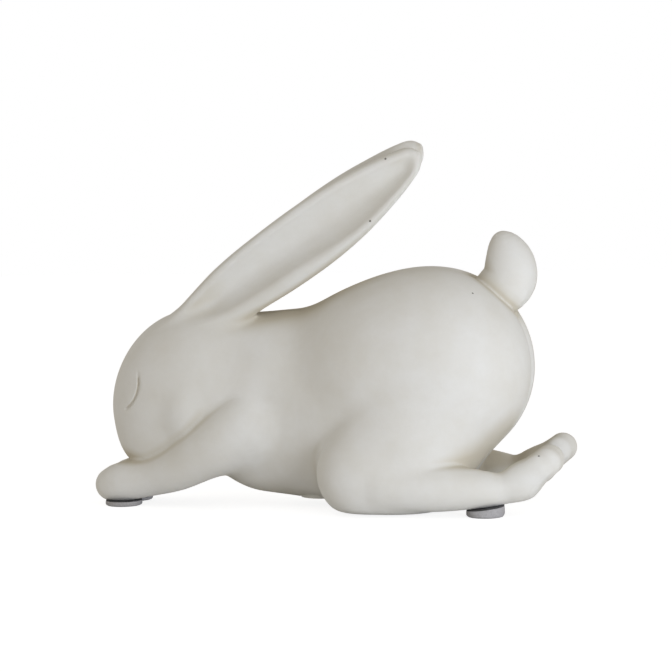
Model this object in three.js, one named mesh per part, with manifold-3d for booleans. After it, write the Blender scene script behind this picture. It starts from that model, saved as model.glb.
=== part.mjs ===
// Resting rabbit figurine, in millimetres, +Z up.
// The head points to -X, the tail to +X and the rabbit's left side to -Y.
// A hollow cast body carries two ears and a tail on pegs, a plug closes the hole in the
// belly that the casting was poured through, and four felt pads lie under the paws.

import * as THREE from 'three';
import { mergeVertices } from 'three/addons/utils/BufferGeometryUtils.js';
import Module from 'manifold-3d';

const wasm = await Module();
wasm.setup();

// Fits
const GAP = 0.3;
const PAD_THICKNESS = 2.5;
const PAD_RADIUS = 9.6;
const PAD_EDGE_ROUND = 0.7;
const PAD_SEAT_DEPTH = 0.6;
const FRONT_PAD = { x: -110.3, y: 10.4 };
const REAR_PAD = { x: 83, y: 37 };
const CASTING_WALL = 6;

// Head
const SKULL = { x: -85.2, z: 57.5 };
const SKULL_HALF_LENGTH = 40;
const SKULL_HALF_DEPTH = 30;
const SKULL_HALF_WIDTH = 25;
const SKULL_LEAN = 22.5;
const MUZZLE = { x: -95.8, z: 33.3, radius: 14.3 };
const MUZZLE_BLEND = 10;
const CHEEK = { x: -74, y: 15.5, z: 53 };
const CHEEK_HALF_LENGTH = 17;
const CHEEK_HALF_DEPTH = 11.5;
const CHEEK_HALF_WIDTH = 13;
const CHEEK_LEAN = 14;
const CHEEK_BLEND = 8;

// Trunk
const NAPE = { x: -62, z: 67, radius: 30 };
const WITHERS = { x: -34, z: 58, radius: 34.5 };
const NECK_BREADTH = { front: 0.88, back: 0.68, from: -74, to: -38 };
const NECK_BLEND = 14;
const HEAD_BLEND = 22;
const CHEST = { x: -30, z: 50.2, radius: 44.4 };
const LOIN = { x: 12, z: 53.4, radius: 52.7 };
const TRUNK_BREADTH = { front: 0.48, back: 0.78, from: -36, to: 36 };
const RUMP = { x: 52.4, y: 8, z: 70.5, radius: 52 };
const RUMP_HALF_WIDTH = 44;
const CLEFT = { depth: 2.2, halfWidth: 4 };
const CLEFT_FROM = { angle: -62, fade: 22 };
const CLEFT_TO = { angle: 95, fade: 33 };

// Front leg, from the shoulder to the paw
const FRONT_LEG = [
  { x: -36, y: 13, z: 58, radius: 15 },
  { x: -41.5, y: 16.8, z: 47, radius: 18 },
  { x: -53, y: 19.3, z: 36.5, radius: 16.2 },
  { x: -66, y: 18, z: 28.3, radius: 14 },
  { x: -79.6, y: 15.5, z: 20.3, radius: 11.8 },
  { x: -95, y: 12.6, z: 15, radius: 9.9 },
];
const PAW = { x: -110, y: 10.8, radius: 10.2 };
const FINGERTIPS = { x: -116.4, y: 10.2, radius: 8.4 };
const ARM_CREASE = 2.5;
const ELBOW_BLEND = { softness: 6, from: -66, to: -52, lean: 54 };
const SHOULDER_BLEND = { softness: 16, from: 56, to: 78 };

// Hind leg, from the thigh to the toes
const THIGH = { x: 37, y: 22, z: 26 };
const THIGH_HALF_LENGTH = 36.5;
const THIGH_HALF_WIDTH = 33;
const THIGH_HALF_DEPTH = 35.5;
const KNEE = { x: 17.8, y: 36.5, z: 19.4, radius: 18.2 };
const KNEE_BLEND = 14;
const THIGH_FLOOR = 1.4;
const THIGH_FLOOR_ROUND = 6;
const RUMP_BLEND = 23;
const THIGH_CREASE = 3;
const FLANK_BLEND = { softness: 22, from: 44, to: 80 };
const HIND_FOOT = [
  { x: 34, y: 40.5, z: 17, radius: 14.5 },
  { x: 48, y: 42, z: 15.4, radius: 13.2 },
  { x: 65, y: 41, z: 13.8, radius: 12 },
];
const HEEL = { x: 77, y: 39, radius: 11.4 };
const SOLE = { x: 89, y: 36, radius: 10.6 };
const BALL = { x: 101, y: 31.5, z: 15.4, radius: 9.8 };
const FOOT_CREASE = 2.5;
const TOE_CREASE = 2.5;
const TOE_BLEND = 5;
const TOE_BREADTH = 0.72;
const TOE_ROOT = { x: 102, y: 36.5, z: 15.6, radius: 8.2 };
const TOE_PITCH = { x: 0.5, y: -4 };
const TOE_TIPS = [
  { x: 111.6, y: 37.2, z: 23.6, radius: 6.8 },
  { x: 115.4, y: 32.2, z: 25.4, radius: 7.4 },
  { x: 116.4, y: 26.6, z: 26, radius: 7.6 },
  { x: 114.4, y: 21, z: 24.6, radius: 7.2 },
];

// Tail, measured from its seat on the rump
const TAIL_SEAT_ANGLE = 46;
const TAIL_JOINTS = [
  { x: -4.5, z: 1, radius: 11.5 },
  { x: 6.6, z: 10.2, radius: 13.8 },
  { x: 5.6, z: 21, radius: 11.2 },
  { x: 2.2, z: 29, radius: 6.2 },
];
const TAIL_BREADTH = 0.9;
const TAIL_BLEND = 3;

// Ears
const EAR_LENGTH = 155;
const EAR_HALF_WIDTH = 17.6;
const EAR_THICKNESS = 12;
const EAR_WALL = 4;
const EAR_RIM = 3.2;
const BOWL_SHIFT = 1;
const EAR_RISE = 31.1;
const EAR_BOW = 8.6;
const EAR_ROOT_ANGLE = 84.6;
const EAR_ROOT_OFFSET = 9;
const EAR_ROOT_SINK = 6;
const EAR_SPREAD = 1.6;
const RIGHT_EAR_LIFT = 1.9;
const EAR_OUTLINE = [
  [-0.1, 0.03], [-0.04, 0.3], [0.1, 0.64], [0.22, 0.86], [0.36, 0.97], [0.54, 1],
  [0.7, 0.91], [0.84, 0.7], [0.93, 0.5], [0.975, 0.32], [1, 0.02],
];
const BOWL_START = { from: -0.06, to: 0.16 };
const BOWL_END = { from: 0.005, to: 0.08 };

// Pegs and fill hole
const PEG_RADIUS = 3;
const PEG_LENGTH = 10;
const PEG_BOSS_WALL = 4;
const FILL_HOLE_RADIUS = 8;
const FILL_HOLE_X = -6;
const PLUG_RECESS = 1.7;
const PLUG_FLANGE_RADIUS = 11.5;
const PLUG_FLANGE_THICKNESS = 2.5;
const PLUG_STEM_LENGTH = 5.5;

// Fineness of the meshes
const TRUNK_CELL = 6.4;
const HEAD_CELL = 5;
const TOE_CELL = 3.2;
const WIDTH_CELL = 5.6;
const FLANK_CELL = 6.2;
const FOOT_CELL = 4.2;
const TAIL_CELL = 3.6;
const CAVITY_CELL = 10;
const LEG_STEPS = 3;
const EAR_STATIONS = 26;
const EAR_BACK_STEPS = 8;
const EAR_BOWL_STEPS = 8;
const ROD_SIDES = 24;
const MOST_SKIN_STEPS = 60;
const SETTLE_STEPS = 3;
const MOST_SETTLE_MOVE = 1;
const SLOPE_STEP = 0.02;
const LEAST_SLOPE = 1e-9;
const LEAST_SETTLE_SLOPE = 0.45;
const JUST_INSIDE = -1e-3;
const WELD_DISTANCE = 1e-4;

const rad = THREE.MathUtils.degToRad;
const point = (x, y, z) => new THREE.Vector3(x, y, z);
const placeOf = (joint) => point(joint.x, joint.y ?? 0, joint.z);
const { smoothstep, clamp } = THREE.MathUtils;

// Clay forms. Each gives the distance from a place to its skin, negative inside, and knows
// the box that it fills.

function boxed(form, ...boxes) {
  return Object.assign(form, {
    box: boxes.reduce((all, box) => all.union(box), new THREE.Box3()),
  });
}

function boxAround(centre, radii) {
  return new THREE.Box3(centre.clone().sub(radii), centre.clone().add(radii));
}

function egg(centre, radii, lean = 0) {
  const cos = Math.cos(rad(lean));
  const sin = Math.sin(rad(lean));
  const reachX = Math.hypot(cos * radii.x, sin * radii.z);
  const reachZ = Math.hypot(sin * radii.x, cos * radii.z);
  return boxed((p) => {
    const dx = p.x - centre.x;
    const dz = p.z - centre.z;
    const x = (dx * cos - dz * sin) / radii.x;
    const y = (p.y - centre.y) / radii.y;
    const z = (dx * sin + dz * cos) / radii.z;
    const reach = Math.hypot(x, y, z);
    const slope = Math.hypot(x / radii.x, y / radii.y, z / radii.z);
    const depth = Math.min(radii.x, radii.y, radii.z);
    return slope < LEAST_SLOPE ? -depth : reach * (reach - 1) / slope;
  }, boxAround(centre, point(reachX, radii.y, reachZ)));
}

function ball({ x, y = 0, z, radius }) {
  return egg(point(x, y, z), point(radius, radius, radius));
}

function limb(start, end, breadth = 1) {
  const from = placeOf(start).divide(point(1, breadth, 1));
  const axis = placeOf(end).divide(point(1, breadth, 1)).sub(from);
  const lengthSq = axis.lengthSq();
  const taper = start.radius - end.radius;
  const coneSq = lengthSq - taper * taper;
  const reachOf = (joint) => point(joint.radius, joint.radius * breadth, joint.radius);
  return boxed((p) => {
    const px = p.x - from.x;
    const py = p.y / breadth - from.y;
    const pz = p.z - from.z;
    const along = px * axis.x + py * axis.y + pz * axis.z;
    const beyond = along - lengthSq;
    const offAxis = Math.hypot(
      px * lengthSq - axis.x * along,
      py * lengthSq - axis.y * along,
      pz * lengthSq - axis.z * along,
    ) ** 2;
    const alongSq = along * along * lengthSq;
    const beyondSq = beyond * beyond * lengthSq;
    const side = Math.sign(taper) * taper * taper * offAxis;
    const cone = (Math.sqrt(offAxis * coneSq / lengthSq) + along * taper) / lengthSq;
    let distance = cone - start.radius;
    if (Math.sign(beyond) * coneSq * beyondSq > side) {
      distance = Math.sqrt(offAxis + beyondSq) / lengthSq - end.radius;
    } else if (Math.sign(along) * coneSq * alongSq < side) {
      distance = Math.sqrt(offAxis + alongSq) / lengthSq - start.radius;
    }
    return distance * Math.min(1, breadth);
  }, boxAround(placeOf(start), reachOf(start)), boxAround(placeOf(end), reachOf(end)));
}

function softMin(a, b, softness) {
  const overlap = Math.max(softness - Math.abs(a - b), 0);
  return Math.min(a, b) - overlap * overlap / (4 * softness);
}

// Softness is a width in millimetres, or gives one for each place.
function joined(softness, ...forms) {
  const widthAt = typeof softness === 'function' ? softness : () => softness;
  return boxed((p) => {
    const width = widthAt(p);
    return forms.map((form) => form(p)).reduce((a, b) => softMin(a, b, width));
  }, ...forms.map((form) => form.box));
}

function onBothSides(form) {
  const mirrored = point(0, 0, 0);
  const { min, max } = form.box;
  const widest = Math.max(max.y, -min.y);
  return boxed(
    (p) => form(mirrored.set(p.x, Math.abs(p.y), p.z)),
    new THREE.Box3(point(min.x, -widest, min.z), point(max.x, widest, max.z)),
  );
}

// Narrows a form from side to side, by a share that changes from front to back.
function squeezed(form, { front, back, from, to }) {
  const wide = point(0, 0, 0);
  return boxed((p) => {
    const breadth = front + (back - front) * smoothstep(p.x, from, to);
    return form(wide.set(p.x, p.y / breadth, p.z)) * Math.min(1, breadth);
  }, form.box);
}

// A leg is a row of limbs along a smooth curve through its joints.
function legThrough(joints) {
  const centres = new THREE.CatmullRomCurve3(joints.map(placeOf));
  const radii = new THREE.SplineCurve(joints.map((joint) => new THREE.Vector2(joint.radius, 0)));
  const steps = LEG_STEPS * (joints.length - 1);
  const bones = [];
  let last = joints[0];
  for (let i = 1; i <= steps; i += 1) {
    const { x, y, z } = centres.getPoint(i / steps);
    const next = { x, y, z, radius: radii.getPoint(i / steps).x };
    bones.push(limb(last, next));
    last = next;
  }
  return boxed((p) => Math.min(...bones.map((bone) => bone(p))), ...bones.map((bone) => bone.box));
}

function skinFrom(form, start, direction) {
  const p = start.clone();
  for (let step = 0; step < MOST_SKIN_STEPS; step += 1) {
    p.addScaledVector(direction, -form(p));
  }
  return p;
}

// Skin of a form as a closed mesh: one corner in each grid cell that the skin passes through,
// moved onto the skin, and one quad around each grid edge that crosses it.

function gridLines(low, high, cell, zones = []) {
  const lines = [low - cell];
  while (lines.at(-1) < high + cell) {
    const here = lines.at(-1);
    const zone = zones.find((z) => here >= z.from && here < z.to);
    lines.push(here + (zone?.cell ?? cell));
  }
  return lines;
}

// Lines on both sides of the middle plane, so that left and right come out alike
function mirroredLines(reach, cell) {
  const count = Math.ceil(reach / cell) + 1;
  return Array.from({ length: 2 * count + 1 }, (_, i) => (i - count) * cell);
}

function skinOf(form, grid) {
  const { xs, ys, zs } = grid;
  const [nx, ny, nz] = [xs.length, ys.length, zs.length];
  const node = (i, j, k) => (i * ny + j) * nz + k;
  const values = new Float64Array(nx * ny * nz);
  const p = point(0, 0, 0);
  for (let i = 0; i < nx; i += 1) {
    for (let j = 0; j < ny; j += 1) {
      for (let k = 0; k < nz; k += 1) {
        values[node(i, j, k)] = form(p.set(xs[i], ys[j], zs[k]));
      }
    }
  }
  closePinches(values, [nx, ny, nz], node);

  const corners = [];
  const cornerOf = new Int32Array(nx * ny * nz).fill(-1);
  const edges = [];
  const steps = [[1, 0, 0], [0, 1, 0], [0, 0, 1]];
  for (let i = 0; i + 1 < nx; i += 1) {
    for (let j = 0; j + 1 < ny; j += 1) {
      for (let k = 0; k + 1 < nz; k += 1) {
        const sum = point(0, 0, 0);
        let count = 0;
        for (let c = 0; c < 8; c += 1) {
          const [a, b, d] = [i + (c & 1), j + ((c >> 1) & 1), k + (c >> 2)];
          for (let s = 0; s < 3; s += 1) {
            if ((c >> s) & 1) {
              continue;
            }
            const [e, f, g] = [a + steps[s][0], b + steps[s][1], d + steps[s][2]];
            const v = values[node(a, b, d)];
            const w = values[node(e, f, g)];
            if ((v < 0) === (w < 0)) {
              continue;
            }
            const t = v / (v - w);
            sum.x += xs[a] + t * (xs[e] - xs[a]);
            sum.y += ys[b] + t * (ys[f] - ys[b]);
            sum.z += zs[d] + t * (zs[g] - zs[d]);
            count += 1;
          }
        }
        if (count > 0) {
          cornerOf[node(i, j, k)] = corners.length;
          corners.push(settle(form, sum.divideScalar(count)));
        }
        steps.forEach(([a, b, d], s) => {
          const v = values[node(i, j, k)];
          const w = values[node(i + a, j + b, k + d)];
          if ((v < 0) !== (w < 0)) {
            edges.push([i, j, k, s, v < 0]);
          }
        });
      }
    }
  }

  const faces = [];
  for (const [i, j, k, s, leaving] of edges) {
    const [a, b, d] = steps[(s + 1) % 3];
    const [e, f, g] = steps[(s + 2) % 3];
    const ring = [
      cornerOf[node(i, j, k)],
      cornerOf[node(i - a, j - b, k - d)],
      cornerOf[node(i - a - e, j - b - f, k - d - g)],
      cornerOf[node(i - e, j - f, k - g)],
    ];
    if (!leaving) {
      ring.reverse();
    }
    faces.push(...splitQuad(form, corners, ring));
  }
  return { corners, faces };
}

// Fills a grid node where two parts of the skin would meet only along an edge.
function closePinches(values, size, node) {
  const planes = [[0, 1], [1, 2], [0, 2]];
  let changed = true;
  while (changed) {
    changed = false;
    for (let i = 0; i < size[0]; i += 1) {
      for (let j = 0; j < size[1]; j += 1) {
        for (let k = 0; k < size[2]; k += 1) {
          for (const [s, t] of planes) {
            const here = [i, j, k];
            if (here[s] + 1 >= size[s] || here[t] + 1 >= size[t]) {
              continue;
            }
            const square = [[0, 0], [1, 0], [1, 1], [0, 1]].map(([u, v]) => {
              const place = [...here];
              place[s] += u;
              place[t] += v;
              return node(...place);
            });
            const inside = square.map((n) => values[n] < 0);
            if (inside[0] === inside[2] && inside[1] === inside[3] && inside[0] !== inside[1]) {
              const outer = square.filter((n) => values[n] >= 0);
              const nearest = values[outer[0]] < values[outer[1]] ? outer[0] : outer[1];
              values[nearest] = JUST_INSIDE;
              changed = true;
            }
          }
        }
      }
    }
  }
}

function slopeOf(form, p) {
  const h = SLOPE_STEP;
  const at = (x, y, z) => form(point(p.x + x, p.y + y, p.z + z));
  return point(
    at(h, 0, 0) - at(-h, 0, 0),
    at(0, h, 0) - at(0, -h, 0),
    at(0, 0, h) - at(0, 0, -h),
  ).divideScalar(2 * h);
}

function settle(form, p) {
  for (let step = 0; step < SETTLE_STEPS; step += 1) {
    const slope = slopeOf(form, p);
    const move = form(p) / Math.max(slope.lengthSq(), LEAST_SETTLE_SLOPE ** 2);
    p.addScaledVector(slope, -clamp(move, -MOST_SETTLE_MOVE, MOST_SETTLE_MOVE));
  }
  return p;
}

// Splits along the diagonal that lies nearer the skin, which keeps creases sharp.
function splitQuad(form, corners, [a, b, c, d]) {
  const off = (e, f) => Math.abs(form(corners[e].clone().add(corners[f]).multiplyScalar(0.5)));
  return off(a, c) <= off(b, d) ? [[a, b, c], [a, c, d]] : [[a, b, d], [b, c, d]];
}

// Solids

function geometryOf({ corners, faces }) {
  const geometry = new THREE.BufferGeometry();
  geometry.setFromPoints(corners);
  geometry.setIndex(faces.flat());
  return geometry;
}

function solidOf(geometry) {
  const bare = geometry.clone();
  bare.deleteAttribute('normal');
  bare.deleteAttribute('uv');
  const merged = mergeVertices(bare, WELD_DISTANCE);
  return new wasm.Manifold(new wasm.Mesh({
    numProp: 3,
    vertProperties: new Float32Array(merged.attributes.position.array),
    triVerts: new Uint32Array(merged.index.array),
  }));
}

function meshOf(name, solid, material) {
  const { vertProperties, triVerts } = solid.getMesh();
  const geometry = new THREE.BufferGeometry();
  geometry.setAttribute('position', new THREE.BufferAttribute(new Float32Array(vertProperties), 3));
  geometry.setIndex(new THREE.BufferAttribute(new Uint32Array(triVerts), 1));
  geometry.computeVertexNormals();
  const mesh = new THREE.Mesh(geometry, material);
  mesh.name = name;
  return mesh;
}

function grown({ corners, faces }, distance) {
  const geometry = geometryOf({ corners, faces });
  geometry.computeVertexNormals();
  const normals = geometry.attributes.normal;
  const moved = corners.map((corner, i) => corner.clone()
    .addScaledVector(point(normals.getX(i), normals.getY(i), normals.getZ(i)), distance));
  return geometryOf({ corners: moved, faces });
}

function rodBetween(from, to, radius, sides = ROD_SIDES) {
  const axis = to.clone().sub(from);
  const rod = new THREE.CylinderGeometry(radius, radius, axis.length(), sides);
  rod.applyQuaternion(new THREE.Quaternion().setFromUnitVectors(point(0, 1, 0), axis.normalize()));
  const middle = from.clone().add(to).multiplyScalar(0.5);
  return solidOf(rod.translate(middle.x, middle.y, middle.z));
}

function turned(profile, x, y, z, sides = ROD_SIDES) {
  const outline = profile.map(([radius, height]) => new THREE.Vector2(radius, height));
  return solidOf(new THREE.LatheGeometry(outline, sides).rotateX(Math.PI / 2).translate(x, y, z));
}

// Body

const padTop = PAD_THICKNESS + GAP;
const onPad = (joint) => ({ ...joint, z: padTop + joint.radius - PAD_SEAT_DEPTH });

const skull = egg(
  placeOf(SKULL),
  point(SKULL_HALF_DEPTH, SKULL_HALF_WIDTH, SKULL_HALF_LENGTH),
  SKULL_LEAN,
);
const cheek = egg(
  placeOf(CHEEK),
  point(CHEEK_HALF_DEPTH, CHEEK_HALF_WIDTH, CHEEK_HALF_LENGTH),
  CHEEK_LEAN,
);
const head = joined(MUZZLE_BLEND, skull, ball(MUZZLE));
const neck = squeezed(limb(NAPE, WITHERS), NECK_BREADTH);
const trunk = joined(NECK_BLEND, squeezed(limb(CHEST, LOIN), TRUNK_BREADTH), neck);
const torso = joined(CHEEK_BLEND, joined(HEAD_BLEND, trunk, head), onBothSides(cheek));

const rumpRadii = point(RUMP.radius, RUMP_HALF_WIDTH, RUMP.radius);
const rump = onBothSides(egg(placeOf(RUMP), rumpRadii));
const thighEgg = egg(
  placeOf(THIGH),
  point(THIGH_HALF_LENGTH, THIGH_HALF_WIDTH, THIGH_HALF_DEPTH),
);
const thigh = joined(KNEE_BLEND, thighEgg, ball(KNEE));
const thighOverFloor = boxed(
  (p) => -softMin(-thigh(p), p.z - THIGH_FLOOR, THIGH_FLOOR_ROUND),
  thigh.box,
);
const haunch = joined(RUMP_BLEND, rump, thighOverFloor);

const arm = legThrough([...FRONT_LEG, onPad(PAW), onPad(FINGERTIPS)]);
const foot = legThrough([...HIND_FOOT, onPad(HEEL), onPad(SOLE), BALL]);
const toes = joined(TOE_CREASE, ...TOE_TIPS.map((tip, i) => {
  const root = { ...TOE_ROOT, x: TOE_ROOT.x + i * TOE_PITCH.x, y: TOE_ROOT.y + i * TOE_PITCH.y };
  return limb(root, tip, TOE_BREADTH);
}));

// The legs leave the trunk with a crease low down and melt into it higher up.
function armSoftness(p) {
  const { softness, from, to, lean } = ELBOW_BLEND;
  const behind = p.x * Math.cos(rad(lean)) - p.z * Math.sin(rad(lean));
  return ARM_CREASE + softness * smoothstep(behind, from, to)
    + SHOULDER_BLEND.softness * smoothstep(p.z, SHOULDER_BLEND.from, SHOULDER_BLEND.to);
}

function thighSoftness(p) {
  return THIGH_CREASE
    + FLANK_BLEND.softness * smoothstep(p.z, FLANK_BLEND.from, FLANK_BLEND.to);
}

function cleftDepth(p) {
  const angle = THREE.MathUtils.radToDeg(Math.atan2(p.z - RUMP.z, p.x - RUMP.x));
  const start = smoothstep(angle, CLEFT_FROM.angle, CLEFT_FROM.angle + CLEFT_FROM.fade);
  const end = 1 - smoothstep(angle, CLEFT_TO.angle - CLEFT_TO.fade, CLEFT_TO.angle);
  return CLEFT.depth * Math.exp(-((p.y / CLEFT.halfWidth) ** 2)) * start * end;
}

const upperBody = joined(armSoftness, torso, arm);
const halfBody = joined(
  FOOT_CREASE,
  joined(thighSoftness, upperBody, haunch),
  joined(TOE_BLEND, foot, toes),
);
const wholeBody = onBothSides(halfBody);
const bodyForm = boxed((p) => wholeBody(p) + cleftDepth(p), wholeBody.box);

const bodyBox = bodyForm.box;
const bodySkin = skinOf(bodyForm, {
  xs: gridLines(bodyBox.min.x, bodyBox.max.x, TRUNK_CELL, [
    { from: bodyBox.min.x, to: CHEEK.x, cell: HEAD_CELL },
    { from: SOLE.x, to: bodyBox.max.x + TOE_CELL, cell: TOE_CELL },
  ]),
  ys: mirroredLines(bodyBox.max.y, WIDTH_CELL),
  zs: gridLines(bodyBox.min.z, bodyBox.max.z, FLANK_CELL, [
    { from: bodyBox.min.z, to: THIGH_HALF_DEPTH, cell: FOOT_CELL },
  ]),
});

// Ears, each a long bowl lofted along its length and hollowed on its outer side

function earSection(halfWidth, thickness, depth, shift) {
  const ring = [];
  const edge = Math.min(EAR_RIM, halfWidth / 2);
  for (let i = 0; i <= EAR_BACK_STEPS; i += 1) {
    const angle = Math.PI * i / EAR_BACK_STEPS;
    const back = edge + (thickness - edge) * Math.sin(angle);
    ring.push([-halfWidth * Math.cos(angle), -back]);
  }
  const bowlHalfWidth = halfWidth - edge;
  for (let i = 0; i <= EAR_BOWL_STEPS; i += 1) {
    const across = Math.cos(Math.PI * i / EAR_BOWL_STEPS);
    const inBowl = 1 - across * across;
    ring.push([bowlHalfWidth * across + shift * inBowl, -depth * inBowl]);
  }
  return ring;
}

function earSkin(root, side, lift) {
  const rise = rad(EAR_RISE + lift);
  const spread = rad(EAR_SPREAD) * side;
  const along = point(Math.cos(rise), Math.sin(spread), Math.sin(rise)).normalize();
  const across = point(Math.sin(rise), 0, -Math.cos(rise));
  const outward = point(0, side, 0);
  const outline = new THREE.SplineCurve(EAR_OUTLINE.map(([t, share]) => new THREE.Vector2(t, share)));
  const corners = [];
  const faces = [];
  let ringSize = 0;
  for (let i = 0; i <= EAR_STATIONS; i += 1) {
    const share = outline.getPoint(i / EAR_STATIONS);
    const t = share.x;
    const halfWidth = EAR_HALF_WIDTH * share.y;
    const thickness = EAR_THICKNESS * Math.sqrt(share.y);
    const depth = Math.max(thickness - EAR_WALL, 0) * smoothstep(t, BOWL_START.from, BOWL_START.to)
      * smoothstep(1 - t, BOWL_END.from, BOWL_END.to);
    const middle = root.clone()
      .addScaledVector(along, t * EAR_LENGTH)
      .addScaledVector(across, -EAR_BOW * t * t);
    const ring = earSection(halfWidth, thickness, depth, BOWL_SHIFT * share.y);
    ringSize = ring.length;
    ring.forEach(([v, s]) => corners.push(middle.clone()
      .addScaledVector(across, v)
      .addScaledVector(outward, s + thickness / 2)));
  }
  for (let i = 0; i < EAR_STATIONS; i += 1) {
    for (let j = 0; j < ringSize; j += 1) {
      const k = (j + 1) % ringSize;
      const [a, b] = [i * ringSize + j, i * ringSize + k];
      faces.push([a, b, b + ringSize], [a, b + ringSize, a + ringSize]);
    }
  }
  for (const start of [0, EAR_STATIONS * ringSize]) {
    const middle = corners.slice(start, start + ringSize)
      .reduce((sum, c) => sum.add(c), point(0, 0, 0)).divideScalar(ringSize);
    corners.push(middle);
    for (let j = 0; j < ringSize; j += 1) {
      const k = (j + 1) % ringSize;
      const [a, b] = start === 0 ? [start + k, start + j] : [start + j, start + k];
      faces.push([a, b, corners.length - 1]);
    }
  }
  if (side < 0) {
    faces.forEach((face) => face.reverse());
  }
  return { corners, faces };
}

// Pegs and their sockets

const pegs = [];

function pegFrom(start, skin, target) {
  const tip = skin.clone().addScaledVector(target.clone().sub(skin).normalize(), PEG_LENGTH);
  const inward = tip.clone().sub(start).normalize();
  pegs.push({ start, tip, inward });
  return rodBetween(start, tip, PEG_RADIUS);
}

const bodyWithGap = solidOf(grown(bodySkin, GAP));

function earSolid(side, lift) {
  const angle = rad(EAR_ROOT_ANGLE);
  const centre = point(SKULL.x, side * EAR_ROOT_OFFSET, SKULL.z);
  const crown = skinFrom(bodyForm, centre, point(Math.cos(angle), 0, Math.sin(angle)));
  const rise = rad(EAR_RISE + lift);
  const root = crown.clone()
    .add(point(Math.sin(rise), 0, -Math.cos(rise)).multiplyScalar(EAR_ROOT_SINK));
  const bowl = solidOf(geometryOf(earSkin(root, side, lift))).subtract(bodyWithGap);
  const stem = root.clone().add(point(Math.cos(rise), 0, Math.sin(rise)).multiplyScalar(PEG_LENGTH));
  return bowl.add(pegFrom(stem, root, centre));
}

const rumpCentre = point(RUMP.x, 0, RUMP.z);
const tailUp = point(Math.cos(rad(TAIL_SEAT_ANGLE)), 0, Math.sin(rad(TAIL_SEAT_ANGLE)));
const tailSeat = skinFrom(bodyForm, rumpCentre, tailUp);

function tailSolid() {
  const joints = TAIL_JOINTS.map(({ x, z, radius }) => (
    { x: x + tailSeat.x, z: z + tailSeat.z, radius }));
  const bones = joints.slice(1).map((end, i) => limb(joints[i], end, TAIL_BREADTH));
  const form = joined(TAIL_BLEND, ...bones);
  const { min, max } = form.box;
  const skin = skinOf(form, {
    xs: gridLines(min.x, max.x, TAIL_CELL),
    ys: mirroredLines(max.y, TAIL_CELL),
    zs: gridLines(min.z, max.z, TAIL_CELL),
  });
  const stem = tailSeat.clone().addScaledVector(tailUp, PEG_LENGTH);
  return solidOf(geometryOf(skin)).subtract(bodyWithGap)
    .add(pegFrom(stem, tailSeat, rumpCentre));
}

const pieces = {
  left_ear: earSolid(-1, 0),
  right_ear: earSolid(1, RIGHT_EAR_LIFT),
  tail: tailSolid(),
};

// Plug in the belly

const belly = skinFrom(bodyForm, point(FILL_HOLE_X, 0, LOIN.z), point(0, 0, -1)).z;
const flangeTop = belly + PLUG_RECESS + PLUG_FLANGE_THICKNESS;
pieces.fill_hole_plug = turned([
  [0, belly + PLUG_RECESS],
  [PLUG_FLANGE_RADIUS, belly + PLUG_RECESS],
  [PLUG_FLANGE_RADIUS, flangeTop],
  [FILL_HOLE_RADIUS - GAP, flangeTop],
  [FILL_HOLE_RADIUS - GAP, flangeTop + PLUG_STEM_LENGTH],
  [0, flangeTop + PLUG_STEM_LENGTH],
], FILL_HOLE_X, 0, 0);

// Felt pads

const padPlaces = {
  front_left_pad: [FRONT_PAD.x, -FRONT_PAD.y],
  front_right_pad: [FRONT_PAD.x, FRONT_PAD.y],
  rear_left_pad: [REAR_PAD.x, -REAR_PAD.y],
  rear_right_pad: [REAR_PAD.x, REAR_PAD.y],
};
for (const [name, [x, y]] of Object.entries(padPlaces)) {
  pieces[name] = turned([
    [0, 0],
    [PAD_RADIUS - PAD_EDGE_ROUND, 0],
    [PAD_RADIUS, PAD_EDGE_ROUND],
    [PAD_RADIUS, PAD_THICKNESS],
    [0, PAD_THICKNESS],
  ], x, y, 0);
}

// Body casting: hollow, with sockets, a stepped fill hole and a flat over each pad

const core = onBothSides(joined(FLANK_BLEND.softness, torso, haunch));
const cavity = skinOf((p) => core(p) + CASTING_WALL, {
  xs: gridLines(core.box.min.x, core.box.max.x, CAVITY_CELL),
  ys: mirroredLines(core.box.max.y, CAVITY_CELL),
  zs: gridLines(core.box.min.z, core.box.max.z, CAVITY_CELL),
});
let hollow = solidOf(geometryOf(cavity));
let body = solidOf(geometryOf(bodySkin));
for (const { start, tip, inward } of pegs) {
  const bossEnd = tip.clone().addScaledVector(inward, PEG_BOSS_WALL);
  hollow = hollow.subtract(rodBetween(start, bossEnd, PEG_RADIUS + PEG_BOSS_WALL));
}
body = body.subtract(hollow);
for (const { start, tip, inward } of pegs) {
  const bottom = tip.clone().addScaledVector(inward, GAP);
  body = body.subtract(rodBetween(start, bottom, PEG_RADIUS + GAP));
}
const holeBelow = point(FILL_HOLE_X, 0, belly - PLUG_FLANGE_THICKNESS);
const seat = point(FILL_HOLE_X, 0, flangeTop + GAP);
const holeTop = point(FILL_HOLE_X, 0, belly + 3 * CASTING_WALL);
body = body.subtract(rodBetween(holeBelow, holeTop, FILL_HOLE_RADIUS));
body = body.subtract(rodBetween(holeBelow, seat, PLUG_FLANGE_RADIUS + GAP));
for (const [x, y] of Object.values(padPlaces)) {
  const seatRadius = PAD_RADIUS + 2 * GAP;
  body = body.subtract(rodBetween(point(x, y, -padTop), point(x, y, padTop), seatRadius));
}
pieces.body_casting = body;

// Assembly

const resin = new THREE.MeshStandardMaterial({ color: 0xd9d8d2, roughness: 0.85, metalness: 0 });
const felt = new THREE.MeshStandardMaterial({ color: 0x6b6667, roughness: 0.95, metalness: 0 });
const group = new THREE.Group();
group.name = 'rabbit_figurine';
for (const [name, solid] of Object.entries(pieces)) {
  group.add(meshOf(name, solid, name.endsWith('_pad') ? felt : resin));
}
const box = new THREE.Box3().setFromObject(group);
const middle = box.getCenter(point(0, 0, 0));
group.position.set(-middle.x, -middle.y, -box.min.z);

export default group;
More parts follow.
